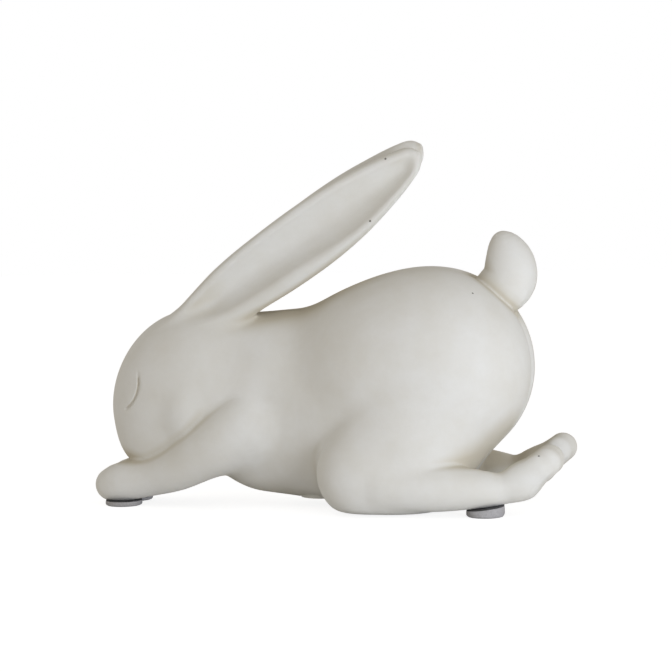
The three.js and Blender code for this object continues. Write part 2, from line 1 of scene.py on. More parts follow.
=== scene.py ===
# %% [markdown]
# A cast rabbit that rests on its forelegs
#
# The real figure is poured resin: a hollow body, two ears and a tail that are set on pegs, a
# plug in the pouring hole, and four felt pads that keep it from scratching a shelf. This
# lesson sculpts the same pieces from round clay forms, turns them into meshes and gives them
# a matt, slightly chalky skin. Sizes are written in millimetres, as a modeller would measure
# them, and become metres at the very end of each piece.
#
# Plain solids of all nine pieces come first. They could be bevelled and smoothed one by one,
# but a soft animal has no edge where one casting stops, so finer castings take their places.
# The solids still say where everything sits.

# %% Load the fixed frame
import math
import bmesh
import bpy
import numpy as np
import openvdb
from mathutils import Matrix, Vector


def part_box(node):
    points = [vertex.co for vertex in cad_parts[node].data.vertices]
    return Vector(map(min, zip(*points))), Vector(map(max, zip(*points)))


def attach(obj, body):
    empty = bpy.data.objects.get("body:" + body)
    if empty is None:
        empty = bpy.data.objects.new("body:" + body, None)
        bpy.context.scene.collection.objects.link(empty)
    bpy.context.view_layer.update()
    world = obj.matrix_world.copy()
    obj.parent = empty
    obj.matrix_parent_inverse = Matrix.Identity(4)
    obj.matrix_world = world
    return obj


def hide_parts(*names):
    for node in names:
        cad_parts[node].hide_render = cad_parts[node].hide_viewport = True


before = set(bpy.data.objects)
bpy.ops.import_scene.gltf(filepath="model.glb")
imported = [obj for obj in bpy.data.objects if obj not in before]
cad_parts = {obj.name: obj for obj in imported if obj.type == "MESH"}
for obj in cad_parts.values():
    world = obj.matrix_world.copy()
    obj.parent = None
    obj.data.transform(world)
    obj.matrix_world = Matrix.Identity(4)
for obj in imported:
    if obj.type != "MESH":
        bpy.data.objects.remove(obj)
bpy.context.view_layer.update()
MM = 0.001

# %% [markdown]
# Clay forms
#
# The figure was modelled in clay before it was moulded, and clay starts as eggs and balls. A
# smooth animal has no edges to extrude, and a cage of faces pinches where legs branch off, so
# this lesson describes it by distance instead. Each form below answers one question for any
# place in space: how far is the skin, with a minus sign inside the clay?

# %% Egg and ball
TINY = 1e-6


def egg(centre, radii, lean=0.0):
    cos, sin = math.cos(math.radians(lean)), math.sin(math.radians(lean))

    def form(x, y, z):
        dx, dz = x - centre[0], z - centre[2]
        a = (dx * cos - dz * sin) / radii[0]
        b = (y - centre[1]) / radii[1]
        c = (dx * sin + dz * cos) / radii[2]
        reach = np.sqrt(a * a + b * b + c * c)
        slope = np.sqrt((a / radii[0]) ** 2 + (b / radii[1]) ** 2 + (c / radii[2]) ** 2)
        return reach * (reach - 1) / np.maximum(slope, TINY)
    return form


def ball(centre, radius):
    def form(x, y, z):
        off = np.sqrt((x - centre[0]) ** 2 + (y - centre[1]) ** 2 + (z - centre[2]) ** 2)
        return off - radius
    return form


print("15 mm above its centre, the skin of a 10 mm ball is", ball((0, 0, 0), 10)(0, 0, 15), "mm off")

# %% [markdown]
# Tapering limbs
#
# Chest, neck, legs and toes all run from a thick end to a thin one. Two balls with blended
# clay between them would sag in the middle. The straight cone that touches both balls keeps
# its thickness, and its distance is exact, so joints with it come out even. The breadth says
# how wide the limb is for its height: above one for a foot, below one for a toe.

# %% One limb
def limb(start, end, start_radius, end_radius, breadth=1.0):
    squash = np.array([1, 1 / breadth, 1])
    a = np.array(start, float) * squash
    axis = np.array(end, float) * squash - a
    length_sq = axis @ axis
    taper = start_radius - end_radius
    cone_sq = length_sq - taper * taper

    def form(x, y, z):
        px, py, pz = x - a[0], y / breadth - a[1], z - a[2]
        along = px * axis[0] + py * axis[1] + pz * axis[2]
        beyond = along - length_sq
        off = ((px * length_sq - axis[0] * along) ** 2 + (py * length_sq - axis[1] * along) ** 2
               + (pz * length_sq - axis[2] * along) ** 2)
        along_sq = along * along * length_sq
        beyond_sq = beyond * beyond * length_sq
        side = math.copysign(taper * taper, taper) * off
        cone = (np.sqrt(off * cone_sq / length_sq) + along * taper) / length_sq - start_radius
        tip = np.sqrt(off + beyond_sq) / length_sq - end_radius
        base = np.sqrt(off + along_sq) / length_sq - start_radius
        past_tip = np.sign(beyond) * cone_sq * beyond_sq > side
        before_base = np.sign(along) * cone_sq * along_sq < side
        distance = np.where(past_tip, tip, np.where(before_base, base, cone))
        return distance * min(1.0, breadth)
    return form


def half_width(form, x, z):
    out = np.arange(0, 60, 0.25)
    return out[form(x, out, z) < 0].max()


trial = limb((0, 0, 0), (20, 0, 0), 8, 4)
print("a limb from 8 to 4 mm has halfway a radius of", half_width(trial, 10, 0), "mm")

# %% [markdown]
# Joining forms
#
# On the real figure cheek, leg and belly run into each other without a seam. Merging meshes
# with a boolean would leave sharp lines that need smoothing by hand. Two distances join like
# clay when the smaller one is rounded off where both are nearly equal. The softness is the
# width of that rounding in millimetres: a small value leaves a crease, as between cheek and
# foreleg, and a large one hides the joint. It may also change from place to place.

# %% Soft joints
def soft_min(a, b, softness):
    overlap = np.maximum(softness - np.abs(a - b), 0)
    return np.minimum(a, b) - overlap * overlap / (4 * softness)


def joined(softness, *forms):
    def form(x, y, z):
        width = softness(x, y, z) if callable(softness) else softness
        distance = forms[0](x, y, z)
        for other in forms[1:]:
            distance = soft_min(distance, other(x, y, z), width)
        return distance
    return form


print("where two skins meet, a softness of 8 mm adds", -soft_min(0, 0, 8), "mm of clay")

# %% [markdown]
# Chains of limbs
#
# A leg changes its thickness and direction at every joint. A tube along a curve could follow
# it, but its round sections would fold into each other at the bends. Here a leg is written as
# in a drawing class, joint by joint, each with its place and radius. A smooth curve adds two
# joints between each pair, so that no bend shows. Far from the leg, the distance to a box
# round it is near enough, which saves most of the work.

# %% Curves and legs
FAR_FROM_LEG = 28


def curve_through(points, steps):
    points = np.array(points, float)
    ends = np.vstack([points[:1], points, points[-1:]])
    out = []
    for s in np.linspace(0, len(points) - 1 - 1e-9, steps):
        i, t = int(s), s - int(s)
        p0, p1, p2, p3 = ends[i:i + 4]
        v0, v1 = (p2 - p0) / 2, (p3 - p1) / 2
        out.append((2 * p1 - 2 * p2 + v0 + v1) * t ** 3
                   + (-3 * p1 + 3 * p2 - 2 * v0 - v1) * t ** 2 + v0 * t + p1)
    return np.array(out)


def leg_through(*joints, breadth=1.0):
    path = curve_through(joints, 3 * len(joints) - 2)
    bones = [limb(a[:3], b[:3], a[3], b[3], breadth) for a, b in zip(path, path[1:])]
    reach = path[:, 3:] * np.array([1, max(1, breadth), 1])
    low = (path[:, :3] - reach).min(axis=0)
    high = (path[:, :3] + reach).max(axis=0)
    print("a chain of", len(bones), "limbs from", low.round(1), "to", high.round(1))

    def form(x, y, z):
        x, y, z = np.broadcast_arrays(x, y, z)
        outside = [np.maximum(np.maximum(a - p, p - b), 0) for a, b, p in zip(low, high, (x, y, z))]
        distance = np.asarray(np.sqrt(sum(o * o for o in outside)))
        near = distance < FAR_FROM_LEG
        place = x[near], y[near], z[near]
        distance[near] = np.minimum.reduce([bone(*place) for bone in bones])
        return distance
    return form

# %% [markdown]
# Head
#
# The sleeping rabbit holds its head upright, with the chin on its forelegs. One egg that
# leans back could give the whole head, but the chin is fuller than that, so a ball is blended
# in for the muzzle. The nose points to minus X, and the rabbit's left side, at minus Y, faces
# the camera.

# %% Skull and muzzle
SKULL_X, SKULL_Z = -85.2, 57.5
MUZZLE_SOFTNESS = 10
skull = egg((SKULL_X, 0, SKULL_Z), (30.5, 25, 39.3), lean=22.5)
muzzle = ball((-95.8, 0, 33.3), 14.3)
head = joined(MUZZLE_SOFTNESS, skull, muzzle)
print("the head is", 2 * half_width(head, SKULL_X, SKULL_Z), "mm wide")

# %% [markdown]
# Trunk and cheeks
#
# Seen from above, the real body is slim at neck and waist and wide at the rump. A round limb
# is as wide as it is high, so chest and neck are squeezed sideways, by an amount that changes
# smoothly along the body. A scaled mesh would do the same, but then the joints would be
# scaled too. The cheeks stand out from the head with a soft crease. Where there are two of a
# thing, one is written and the sign of Y is dropped, which mirrors it.

# %% Chest, neck and cheeks
CHEST_TO_NECK, NECK_TO_HEAD, CHEEK_TO_HEAD = 14, 22, 6


def smooth_step(value, low, high):
    t = np.clip((value - low) / (high - low), 0, 1)
    return t * t * (3 - 2 * t)


def squeezed(form, front, back, start, end):
    def narrow(x, y, z):
        breadth = front + (back - front) * smooth_step(x, start, end)
        return form(x, y / breadth, z) * np.minimum(breadth, 1)
    return narrow


def on_both_sides(form):
    return lambda x, y, z: form(x, np.abs(y), z)


round_chest = limb((-30, 0, 50.6), (12, 0, 53.3), 44.2, 52.9)
round_neck = limb((-62, 0, 67), (-34, 0, 58), 30, 34.5)
chest = squeezed(round_chest, front=0.54, back=0.79, start=-40, end=26)
neck = squeezed(round_neck, front=0.8, back=0.63, start=-72, end=-38)
cheek = egg((-74, 15.5, 52.5), (10.5, 14.4, 15.5), lean=14)
torso = joined(CHEST_TO_NECK, chest, neck)
torso = joined(NECK_TO_HEAD, torso, head)
torso = joined(CHEEK_TO_HEAD, torso, on_both_sides(cheek))
print("half widths of cheek, neck and chest", [half_width(torso, x, 55) for x in (-74, -52, 0)])

# %% [markdown]
# Forelegs
#
# The forelegs are folded under the head, from a shoulder hidden in the chest to a paw at the
# chin. The crease along them is sharp under the cheek, softer behind the elbow and gone at
# the shoulder. It could be carved afterwards, but a softness that changes from place to place
# draws the same line while the forms grow together.

# %% Forelegs
CREASE_SOFTNESS, ELBOW_SOFTNESS, SHOULDER_SOFTNESS = 2.5, 6, 16
ACROSS_ARM = (0.588, -0.809)
BEHIND_ELBOW, UP_SHOULDER = (-66, -52), (56, 78)
arm = leg_through(
    (-37, 10, 58, 13),
    (-42, 16, 45.5, 17),
    (-53, 18.8, 36.5, 16.2),
    (-66, 18, 28.3, 14),
    (-79.6, 15.5, 20.3, 11.8),
    (-95, 12.6, 15, 9.9),
    (-110, 10.8, 12.4, 10.2),
    (-116.6, 10.2, 10.8, 8.6),
)


def arm_softness(x, y, z):
    behind_elbow = smooth_step(ACROSS_ARM[0] * x + ACROSS_ARM[1] * z, *BEHIND_ELBOW)
    up_shoulder = smooth_step(z, *UP_SHOULDER)
    return CREASE_SOFTNESS + ELBOW_SOFTNESS * behind_elbow + SHOULDER_SOFTNESS * up_shoulder


print("softness at the paw", arm_softness(-100, 12, 20), "mm")
print("softness at the shoulder", arm_softness(-30, 12, 80), "mm")

# %% [markdown]
# Rump, thigh and knee
#
# Two round halves stand beside each other and make the high rump. Below, the thigh is an egg
# and the knee a ball, and both are pressed flat just above the shelf. A boolean with a box
# would cut a hard edge there. Pressing is the opposite of joining: the larger distance
# counts, rounded off in the same way.

# %% Haunch
THIGH_TO_KNEE, THIGH_TO_RUMP = 14, 20
SHELF_GAP, SHELF_SOFTNESS = 0.8, 4
rump = on_both_sides(egg((51.8, 8, 71), (51.8, 44, 51.3)))
thigh_egg = egg((36.5, 22, 26), (35.5, 33, 35.5))
knee = ball((17.8, 36.5, 19.4), 18.2)


def soft_max(a, b, softness):
    return -soft_min(-a, -b, softness)


def haunch(x, y, z):
    leg = soft_min(thigh_egg(x, y, z), knee(x, y, z), THIGH_TO_KNEE)
    thigh = soft_max(leg, SHELF_GAP - z, SHELF_SOFTNESS)
    return soft_min(rump(x, y, z), thigh, THIGH_TO_RUMP)


print("half widths at knee and rump", half_width(haunch, 18, 19), half_width(haunch, 52, 71))

# %% [markdown]
# Hind feet
#
# The hind feet reach out behind the rump with their toes turned up. Grooves in a paddle
# would be quicker, but on the real foot each toe ends by itself. Four narrow limbs fan out
# from the end of the foot, and a small softness keeps the creases between them.

# %% Foot and toes
TOE_CREASE, TOES_TO_FOOT = 2.5, 5
KNUCKLE_RADIUS, TOE_BREADTH = 7.8, 0.72
FIRST_KNUCKLE, KNUCKLE_STEP = (102, 36.5, 17.2), (0.5, -4)
foot = leg_through(
    (34, 40.5, 17, 14.5),
    (48, 41.5, 15.6, 13),
    (62, 41, 14.7, 11.9),
    (79, 39, 13.8, 9.6),
    (91, 35.5, 13.5, 7.9),
    (102, 31.5, 16.7, 8.2),
    breadth=1.15,
)
TOE_TIPS = (
    (110.8, 37.2, 24.2, 6.6),
    (114.6, 32.2, 26.4, 7.2),
    (115.6, 26.6, 27.2, 7.4),
    (113.6, 21, 26, 7),
)
toe_forms = []
for i, tip in enumerate(TOE_TIPS):
    knuckle_x = FIRST_KNUCKLE[0] + KNUCKLE_STEP[0] * i
    knuckle_y = FIRST_KNUCKLE[1] + KNUCKLE_STEP[1] * i
    knuckle = (knuckle_x, knuckle_y, FIRST_KNUCKLE[2])
    toe_forms.append(limb(knuckle, tip[:3], KNUCKLE_RADIUS, tip[3], TOE_BREADTH))
toes = joined(TOE_CREASE, *toe_forms)
print("from the middle, the toes reach out to", [half_width(toe, 112, 25) for toe in toe_forms], "mm")

# %% [markdown]
# Half a body
#
# One half of the body now grows together from torso, foreleg, haunch and foot. The haunch is
# creased against the belly and melts into the back, again through a softness that changes,
# this time with height. The foot keeps a fine crease where it comes out under the thigh.

# %% Half a body
HAUNCH_CREASE, BACK_SOFTNESS, FOOT_CREASE = 3, 22, 2.5
UP_BACK = (44, 80)


def haunch_softness(x, y, z):
    return HAUNCH_CREASE + BACK_SOFTNESS * smooth_step(z, *UP_BACK)


half_body = joined(arm_softness, torso, arm)
half_body = joined(haunch_softness, half_body, haunch)
half_body = joined(FOOT_CREASE, half_body, joined(TOES_TO_FOOT, foot, toes))
print("half widths from chest to rump", [half_width(half_body, x, 60) for x in (-40, -20, 0, 20, 50)])

# %% [markdown]
# Carving
#
# Two things are cut into the clay: the cleft that divides the haunches behind, and the
# closed eye, an arc drawn with a fine tool. A painted line or bump would be quicker, but only
# a real groove catches the light from every side. Adding to the distance moves the skin
# inward by as many millimetres. The two hind feet don't end level either, so near the toes
# the asked place is shifted along before the form answers.

# %% Cleft, eye line and feet
RUMP_MIDDLE = (52.7, 70.5)
CLEFT_DEPTH, CLEFT_WIDTH = 3.4, 3.6
CLEFT_OPENS, CLEFT_CLOSES = (-62, -40), (50, 85)
EYE_CENTRE, EYE_RADIUS = (-113.5, 65.5), 16.4
EYE_LINE_WIDTH, EYE_LINE_DEPTH, EYE_LINE_SHARPNESS = 1.15, 1.1, 1.6
EYE_LINE_OPENS, EYE_LINE_CLOSES = (-66, -52), (2, 24)
FEET_APART, FEET_SHIFT = 15, 0.6
TOES_BEGIN, ABOVE_TOES = (84, 102), (32, 44)


def angle_round(middle, x, z):
    return np.degrees(np.arctan2(z - middle[1], x - middle[0]))


def cleft(x, y, z):
    angle = angle_round(RUMP_MIDDLE, x, z)
    open_between = smooth_step(angle, *CLEFT_OPENS) * (1 - smooth_step(angle, *CLEFT_CLOSES))
    return CLEFT_DEPTH * np.exp(-(y / CLEFT_WIDTH) ** 2) * open_between


def off_eye_line(x, z):
    return np.hypot(x - EYE_CENTRE[0], z - EYE_CENTRE[1]) - EYE_RADIUS


def eye_line(x, z):
    angle = angle_round(EYE_CENTRE, x, z)
    faded = smooth_step(angle, *EYE_LINE_OPENS) * (1 - smooth_step(angle, *EYE_LINE_CLOSES))
    off = off_eye_line(x, z) / EYE_LINE_WIDTH * EYE_LINE_SHARPNESS
    return EYE_LINE_DEPTH * faded * np.exp(-off ** 2)


def plain_body(x, y, z):
    at_toes = smooth_step(x, *TOES_BEGIN) * (1 - smooth_step(z, *ABOVE_TOES))
    stagger = (np.clip(y / FEET_APART, -1, 1) - FEET_SHIFT) * at_toes
    return half_body(x - stagger, np.abs(y), z) + cleft(x, y, z) + eye_line(x, z)


for share in (-1, 0, 1):
    off = share * EYE_LINE_WIDTH / 2
    carved = eye_line(EYE_CENTRE[0] + EYE_RADIUS + off, EYE_CENTRE[1])
    print("beside the eye line", off, "mm, carved", round(float(carved), 2), "mm")

# %% [markdown]
# Finding a place on the skin
#
# Ears and tail are set on the clay, so their roots have to be found on it. They could be
# typed in, but then any change of the body would leave them in the air. Walking from inside
# along a straight line, by the distance that the form itself gives, ends on the skin.

# %% Walk to the skin
STEPS_TO_SKIN = 60


def skin_from(form, start, direction):
    here = np.array(start, float)
    step = np.array(direction, float) / np.linalg.norm(direction)
    for _ in range(STEPS_TO_SKIN):
        here -= step * float(form(*here))
    return here


def direction_at(angle):
    return np.array([math.cos(math.radians(angle)), 0, math.sin(math.radians(angle))])


back_top = skin_from(plain_body, (RUMP_MIDDLE[0], 0, RUMP_MIDDLE[1]), direction_at(90))
print("the top of the rump is", back_top[2].round(1), "mm above the shelf")

# %% [markdown]
# Outline of an ear
#
# A rabbit's ear is a long leaf, narrow at the root, widest in its middle and blunt at the
# tip. It could be drawn as a closed curve and filled, but the section below asks for one
# width at each place along the ear. So a few pairs of place and half width are written, as
# shares of length and width, and a smooth curve runs through them.

# %% Outline of an ear
EAR_LENGTH, EAR_HALF_WIDTH, EAR_THICKNESS, EAR_WALL = 155, 17.6, 12, 4
UPPER_RIM, LOWER_RIM_AT_ROOT, LOWER_RIM_AT_TIP = 4, 8, 3.2
BEFORE_ROOT, THIN_ROOT, THIN_TIP = -0.1, 0.03, 0.02
ear_shape = np.array([
    (BEFORE_ROOT, THIN_ROOT), (-0.04, 0.3), (0.1, 0.64), (0.22, 0.86), (0.36, 0.97), (0.54, 1),
    (0.7, 0.91), (0.84, 0.7), (0.93, 0.5), (0.975, 0.32), (1, THIN_TIP),
])
ear_outline = curve_through(ear_shape, 400)
print("the ear is", round(2 * EAR_HALF_WIDTH * ear_outline[:, 1].max(), 1), "mm wide")

# %% [markdown]
# Section of an ear
#
# Cut across, the real ear has a rounded back and an outer face with a shallow bowl between
# two rims, of which the lower one is broader. A thin sheet with a solidify modifier would
# look like card. Here the back is half an ellipse, and the face is a flat that is pressed in
# along an arch, deepest in the middle and running out at root and tip.

# %% Back and face of an ear
FACE_SOFTNESS = 2
RIM_NARROWS, BOWL_OPENS, BOWL_CLOSES = (0.4, 0.8), (-0.06, 0.16), (0.005, 0.08)


def rounded_back(s, v, width, thick, edge):
    deep = thick - edge
    behind = np.minimum(s + edge, 0) / deep
    back = np.sqrt((v / width) ** 2 + behind ** 2)
    slope = np.sqrt((v / width ** 2) ** 2 + (behind / deep) ** 2)
    return back * (back - 1) / np.maximum(slope, TINY)


def hollowed_face(s, v, t, share, width, thick, edge):
    narrowing = (LOWER_RIM_AT_TIP - LOWER_RIM_AT_ROOT) * smooth_step(t, *RIM_NARROWS)
    lower_rim = LOWER_RIM_AT_ROOT + narrowing
    bowl_top = edge - width
    bowl_bottom = width - np.minimum(lower_rim * share, width / 2)
    half_bowl = (bowl_bottom - bowl_top) / 2
    in_bowl = (v - bowl_top) / half_bowl - 1
    in_leaf = smooth_step(t, *BOWL_OPENS) * smooth_step(1 - t, *BOWL_CLOSES)
    depth = (thick - EAR_WALL) * in_leaf
    floor = s + depth * (1 - in_bowl ** 2)
    floor = floor / np.sqrt(1 + (2 * depth * in_bowl / half_bowl) ** 2)
    return soft_max(s, floor, FACE_SOFTNESS)


print("the bowl is", EAR_THICKNESS - EAR_WALL, "mm deep in the middle")

# %% [markdown]
# Both ears
#
# The ears grow side by side from the crown and lean back over the shoulders. Each is asked in
# its own directions: along the leaf, across it, and outward through it. A bow is added
# across, so that the leaf curves down a little. The two differ only in side and lift, so one
# function makes both, and neither has to be copied and turned.

# %% Both ears
EAR_RISE, EAR_BOW, EAR_SPREAD, RIGHT_EAR_LIFT = 31.1, 8.6, 1.6, 1.9
CROWN_ANGLE, EARS_APART, ROOT_BELOW_CROWN = 84.6, 9, 6
RIM_SOFTNESS, EAR_DEEPEST = 5.5, -20


def ear(side, lift):
    crown = skin_from(plain_body, (SKULL_X, side * EARS_APART, SKULL_Z), direction_at(CROWN_ANGLE))
    rise = math.radians(EAR_RISE + lift)
    across = np.array([math.sin(rise), 0, -math.cos(rise)])
    root = crown + across * ROOT_BELOW_CROWN
    along = np.array([math.cos(rise), math.sin(math.radians(EAR_SPREAD)) * side, math.sin(rise)])
    along /= np.linalg.norm(along)
    print("an ear grows from", root.round(1))

    def form(x, y, z):
        px, py, pz = x - root[0], y - root[1], z - root[2]
        t = (px * along[0] + py * along[1] + pz * along[2]) / EAR_LENGTH
        share = np.interp(t, *ear_outline.T, left=THIN_ROOT, right=THIN_TIP)
        width = EAR_HALF_WIDTH * share
        thick = EAR_THICKNESS * np.sqrt(share)
        edge = np.minimum(UPPER_RIM, width / 2)
        v = px * across[0] + pz * across[2] + EAR_BOW * t * t
        s = (py - along[1] * t * EAR_LENGTH) * side - thick / 2
        ends = np.maximum(t - 1, BEFORE_ROOT - t) * EAR_LENGTH
        shell = np.maximum(rounded_back(s, v, width, thick, edge), ends)
        face = hollowed_face(s, v, t, share, width, thick, edge)
        return soft_max(np.maximum(shell, EAR_DEEPEST), face, RIM_SOFTNESS)
    return form


left_ear_form = ear(-1, 0)
right_ear_form = ear(1, RIGHT_EAR_LIFT)

# %% [markdown]
# Tail
#
# The tail stands up from the cleft of the rump like a bean: thick below, bent outward, and
# round at the tip. A ball would do from afar, but the bend shows from the side, so the tail
# is a short chain of limbs as well, a little narrower than it is deep. Its joints are counted
# from the seat that was found on the skin.

# %% Tail
TAIL_BREADTH = 0.9
tail_seat = skin_from(plain_body, (RUMP_MIDDLE[0], 0, RUMP_MIDDLE[1]), direction_at(46))


def tail_joint(dx, dz):
    return (tail_seat[0] + dx, 0, tail_seat[2] + dz)


tail_form = leg_through(
    (*tail_joint(-3.8, 1.9), 11.5),
    (*tail_joint(2.2, 6), 13.4),
    (*tail_joint(6.9, 11.6), 13.8),
    (*tail_joint(7.3, 18.9), 12.7),
    (*tail_joint(5.7, 25.4), 9.8),
    (*tail_joint(4, 29.4), 6.6),
    breadth=TAIL_BREADTH,
)
print("the tail sits at", tail_seat.round(1))

# %% [markdown]
# One skin, several castings
#
# Ears and tail are cast by themselves, and on the real figure the seams are filled and
# painted over, so the skin runs on without a step. Meshes that are modelled apart would show
# a line where they meet. Here the whole rabbit is one form, from which each casting is cut.
# Past the seam a casting sinks slowly under its neighbour's skin, which hides its end.

# %% The whole rabbit, and how a casting sinks
EAR_SOFTNESS, TAIL_SOFTNESS = 5, 1.5
SEAM_HEIGHT, SINK_REACH, SINK_DEPTH, DEEPEST_SINK = 2.5, 8, 0.5, 1.6
whole = joined(EAR_SOFTNESS, plain_body, left_ear_form, right_ear_form)
whole = joined(TAIL_SOFTNESS, whole, tail_form)


def sinking(past):
    return SINK_DEPTH * np.square(np.clip(past / SINK_REACH, 0, DEEPEST_SINK))


print("past the seam by 0, 4 and 8 mm, a casting lies", sinking(np.array([0, 4, 8])), "mm deeper")

# %% [markdown]
# A recess for the plug
#
# Under the belly a plug closes the hole through which the resin was poured. The plug keeps
# its plain solid, because a turned disc needs nothing finer, and only the clay makes room for
# it with a round recess. Its place could be typed in, but it is read from the plug, so that
# both stay together. A front pad tells how far the frame's middle lies from the clay's.

# %% Places taken from the solids
FRONT_PAD_X = -110.3
RECESS_PLAY, RECESS_HEIGHT = 0.15, 1.6
plug_low, plug_high = (np.array(corner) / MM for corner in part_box("fill_hole_plug"))
pad_low, pad_high = (np.array(corner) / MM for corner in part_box("front_left_pad"))
FRAME_SHIFT = np.array([(pad_low[0] + pad_high[0]) / 2 - FRONT_PAD_X, 0, 0])
PLUG_PLACE = (plug_low + plug_high) / 2 - FRAME_SHIFT
RECESS_RADIUS = (plug_high[0] - plug_low[0]) / 2 + RECESS_PLAY
RECESS_TOP = plug_low[2] + RECESS_HEIGHT
print("the frame's middle lies", FRAME_SHIFT[0].round(2), "mm from the clay's")
print("the recess is", RECESS_RADIUS.round(2), "mm in radius and ends at", RECESS_TOP.round(2), "mm")

# %% [markdown]
# Cutting the castings
#
# The body keeps all clay up to the seam height above its own skin, and a little more that
# sinks into ear or tail. An ear or the tail keeps what lies outside the seam, and a little
# more that sinks into the body. A boolean between finished meshes could cut them too, but it
# would leave thin slivers along the seam.

# %% Body, ears and tail cut from one skin
RECESS_SOFTNESS, ROUND_OWN_FORM = 0.6, 4


def past_seam(x, y, z):
    return plain_body(x, y, z) - SEAM_HEIGHT


def off_recess_rim(x, y):
    return np.hypot(x - PLUG_PLACE[0], y) - RECESS_RADIUS


def body_casting(x, y, z):
    past = past_seam(x, y, z)
    skin = whole(x, y, z) + sinking(past)
    recess = np.maximum(off_recess_rim(x, y), z - RECESS_TOP)
    skin = soft_max(skin, -recess, RECESS_SOFTNESS)
    return np.maximum(skin, past - SINK_REACH)


def set_on_body(own_form):
    def form(x, y, z):
        past = past_seam(x, y, z)
        skin = whole(x, y, z) + sinking(-past)
        skin = np.maximum(skin, -past - SINK_REACH)
        return np.maximum(skin, own_form(x, y, z) - ROUND_OWN_FORM)
    return form


print("depth of clay in the middle of the chest", -round(float(body_casting(0, 0, 55)), 1), "mm")

# %% [markdown]
# Settling on the skin
#
# Corners that come from a grid lie a fraction of a millimetre beside the skin, which shows as
# faint ripples under a low lamp. Smoothing would hide them and shrink the toes as well.
# Instead each corner walks down the slope of the distance until it lies on the skin.

# %% Settle
SETTLE_ROUNDS, FLATTEST_SLOPE = 3, 0.1


def slope_of(form, points, step=0.05):
    columns = []
    for axis in np.eye(3) * step:
        ahead, behind = points + axis, points - axis
        columns.append((form(*ahead.T) - form(*behind.T)) / (2 * step))
    return np.stack(columns, axis=1)


def settle(form, points, most):
    for _ in range(SETTLE_ROUNDS):
        slope = slope_of(form, points)
        move = form(*points.T) / np.maximum((slope ** 2).sum(axis=1), FLATTEST_SLOPE)
        points = points - slope * np.clip(move, -most, most)[:, None]
    return points


beside = settle(ball((0, 0, 0), 10), np.array([[0, 0, 10.4]]), most=0.5)
print("a corner at 10.4 mm settles at", beside[0, 2].round(3), "mm on a 10 mm ball")

# %% [markdown]
# From a form to a mesh
#
# Metaballs or a remesh modifier could turn round forms into faces, but neither knows a form
# that is written as a distance. The distance is only needed near the skin, so space is first
# sampled in coarse blocks, and only those that the skin can cross are filled in. The grid of
# distances then becomes quads.

# %% Sample and mesh
BLOCK, BLOCKS_NEAR_SKIN, BAND = 4, 1.5, 3.0


def quads_of(form, low, high, cell):
    blocks = [int(math.ceil((b - a) / cell / BLOCK)) for a, b in zip(low, high)]
    middles = [a + cell * (BLOCK * (np.arange(n) + 0.5) - 0.5) for a, n in zip(low, blocks)]
    rough = form(*np.meshgrid(*middles, indexing="ij"))
    fine = rough.repeat(BLOCK, 0).repeat(BLOCK, 1).repeat(BLOCK, 2)
    near = np.abs(fine) < cell * BLOCK * BLOCKS_NEAR_SKIN
    index = np.nonzero(near)
    values = np.where(fine > 0, BAND, -BAND)
    values[index] = form(*[a + cell * i for a, i in zip(low, index)]) / cell
    grid = openvdb.FloatGrid(background=BAND)
    grid.copyFromArray(np.clip(values, -BAND, BAND).astype(np.float32), tolerance=0.0)
    points, quads = grid.convertToQuads()
    return settle(form, points * cell + np.array(low), cell / 2) + FRAME_SHIFT, quads


trial_points, trial_quads = quads_of(ball((0, 0, 0), 10), (-12, -12, -12), (12, 12, 12), 2)
print("a 10 mm ball in 2 mm cells takes", len(trial_quads), "quads")

# %% [markdown]
# A named piece
#
# Points and faces only become an object once they have a name and hang in the scene. Faces
# could be added one by one, but handing over both lists at once is shorter and faster. A
# closed mesh also knows its volume: where that comes out negative, the faces look inward and
# are turned round.

# %% Piece from points and quads
def volume_of(points, quads):
    a, b, c, d = (points[quads[:, i]] for i in range(4))
    first_half = np.einsum("ij,ij->i", a, np.cross(b, c))
    second_half = np.einsum("ij,ij->i", a, np.cross(c, d))
    return (first_half + second_half).sum() / 6


def piece_from(name, points, quads):
    volume = volume_of(points, quads)
    if volume < 0:
        quads = quads[:, ::-1]
    mesh = bpy.data.meshes.new(name)
    mesh.from_pydata((points * MM).tolist(), [], quads.tolist())
    mesh.polygons.foreach_set("use_smooth", [True] * len(mesh.polygons))
    mesh.update()
    piece = bpy.data.objects.new(name, mesh)
    bpy.context.collection.objects.link(piece)
    print(f"{name}: {len(points)} corners, {abs(volume) / 1000:.1f} cubic centimetres")
    return piece


trial_volume = abs(volume_of(trial_points, trial_quads)) / 1000
print("the trial ball holds", trial_volume.round(2), "cubic centimetres")

# %% [markdown]
# The four castings
#
# Each casting is meshed in a box a little larger than itself. One fine grid for all would be
# simpler, but the body is large and calm, and 1.2 mm cells are enough for it, while the rims
# of the ears and the crease round the tail need 0.8 mm.

# %% Body, ears and tail as meshes
BODY_CELL, FINE_CELL = 1.2, 0.8
BODY_BOX = (-128, -60, 0), (128, 60, 134)
LEFT_EAR_BOX = (-96, -34, 78), (68, 2, 190)
RIGHT_EAR_BOX = (-96, -2, 78), (68, 34, 190)
TAIL_BOX = (60, -18, 94), (112, 18, 160)
body = piece_from("cast_body", *quads_of(body_casting, *BODY_BOX, BODY_CELL))
left_ear = piece_from("cast_left_ear", *quads_of(set_on_body(left_ear_form), *LEFT_EAR_BOX, FINE_CELL))
right_ear = piece_from("cast_right_ear", *quads_of(set_on_body(right_ear_form), *RIGHT_EAR_BOX, FINE_CELL))
tail = piece_from("cast_tail", *quads_of(set_on_body(tail_form), *TAIL_BOX, FINE_CELL))
castings = (body, left_ear, right_ear, tail)
print("corners in all", sum(len(piece.data.vertices) for piece in castings))

